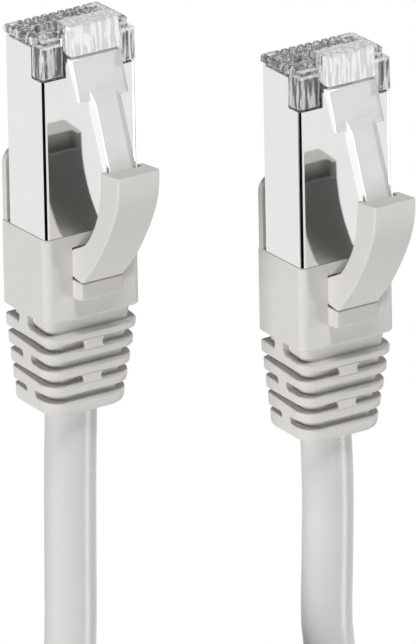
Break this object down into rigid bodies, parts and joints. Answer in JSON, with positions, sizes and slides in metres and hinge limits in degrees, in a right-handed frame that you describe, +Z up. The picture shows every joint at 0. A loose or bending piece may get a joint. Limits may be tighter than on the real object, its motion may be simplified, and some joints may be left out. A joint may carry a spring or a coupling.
{
  "type": "ethernet patch cable",
  "caption": "Shielded ethernet patch cable: a round grey cord with a booted modular plug on each end, sprung latches under curved boot levers, the spare length coiled.",
  "frame": {"origin": "on the surface that the boots rest on, at the middle of the box round the two plugs", "axes": "+Y forward, the way both plug noses point and the longest side of the two plugs; +X across from one plug to the other; +Z up, towards the latches"},
  "size_m": [0.0709, 0.1494, 0.0174],
  "materials": {
    "clear_plastic": "clear, polished",
    "bright_metal": "bright plated sheet, mirror-like",
    "gold_plate": "gold plated",
    "crimp_metal": "plain formed metal",
    "milky_plastic": "milky, moulded",
    "grey_boot": "soft satin moulding, light warm grey",
    "grey_jacket": "slightly glossy extruded jacket, light grey",
    "wire_1": "insulation, satin",
    "wire_2": "insulation, satin",
    "wire_3": "insulation, satin",
    "wire_4": "insulation, satin",
    "wire_5": "insulation, satin",
    "wire_6": "insulation, satin",
    "wire_7": "insulation, satin",
    "wire_8": "insulation, satin"
  },
  "bodies": {
    "root": {"plug_housing_a": "clear_plastic", "shield_shell_a": "bright_metal", "load_bar_a": "milky_plastic", "crimp_ferrule_a": "crimp_metal", "cable_end_a": "grey_jacket", "strain_boot_a": "grey_boot", "contact_a1": "gold_plate", "contact_a2": "gold_plate", "contact_a3": "gold_plate", "contact_a4": "gold_plate", "contact_a5": "gold_plate", "contact_a6": "gold_plate", "contact_a7": "gold_plate", "contact_a8": "gold_plate", "wire_a1": "wire_1", "wire_a2": "wire_2", "wire_a3": "wire_3", "wire_a4": "wire_4", "wire_a5": "wire_5", "wire_a6": "wire_6", "wire_a7": "wire_7", "wire_a8": "wire_8", "plug_housing_b": "clear_plastic", "shield_shell_b": "bright_metal", "load_bar_b": "milky_plastic", "crimp_ferrule_b": "crimp_metal", "cable_end_b": "grey_jacket", "strain_boot_b": "grey_boot", "contact_b1": "gold_plate", "contact_b2": "gold_plate", "contact_b3": "gold_plate", "contact_b4": "gold_plate", "contact_b5": "gold_plate", "contact_b6": "gold_plate", "contact_b7": "gold_plate", "contact_b8": "gold_plate", "wire_b1": "wire_1", "wire_b2": "wire_2", "wire_b3": "wire_3", "wire_b4": "wire_4", "wire_b5": "wire_5", "wire_b6": "wire_6", "wire_b7": "wire_7", "wire_b8": "wire_8", "cable_lead_a": "grey_jacket", "cable_lead_b": "grey_jacket", "cable_coil": "grey_jacket"},
    "latch_a": {"latch_a": "clear_plastic"},
    "boot_lever_a": {"boot_lever_a": "grey_boot"},
    "latch_b": {"latch_b": "clear_plastic"},
    "boot_lever_b": {"boot_lever_b": "grey_boot"}
  },
  "joints": [
    {"name": "boot_lever_a_press", "type": "hinge", "parent": "root", "child": "boot_lever_a", "pos_m": [-0.01595, -0.00125, 0.0097], "axis": [-1, 0, 0], "range_deg": [0, 11.5], "stiffness_Nm_per_rad": 0.01},
    {"name": "latch_a_bend", "type": "hinge", "parent": "root", "child": "latch_a", "pos_m": [-0.01595, 0.02386, 0.009], "axis": [1, 0, 0], "range_deg": [0, 13.7], "stiffness_Nm_per_rad": 0.01},
    {"name": "boot_lever_b_press", "type": "hinge", "parent": "root", "child": "boot_lever_b", "pos_m": [0.01595, -0.01158, 0.0097], "axis": [-1, 0, 0], "range_deg": [0, 11.5], "stiffness_Nm_per_rad": 0.01},
    {"name": "latch_b_bend", "type": "hinge", "parent": "root", "child": "latch_b", "pos_m": [0.01595, 0.01353, 0.009], "axis": [1, 0, 0], "range_deg": [0, 13.7], "stiffness_Nm_per_rad": 0.01}
  ],
  "couplings": [
    {"joint": "latch_a_bend", "follows": "boot_lever_a_press", "ratio": 1.19},
    {"joint": "latch_b_bend", "follows": "boot_lever_b_press", "ratio": 1.19}
  ]
}
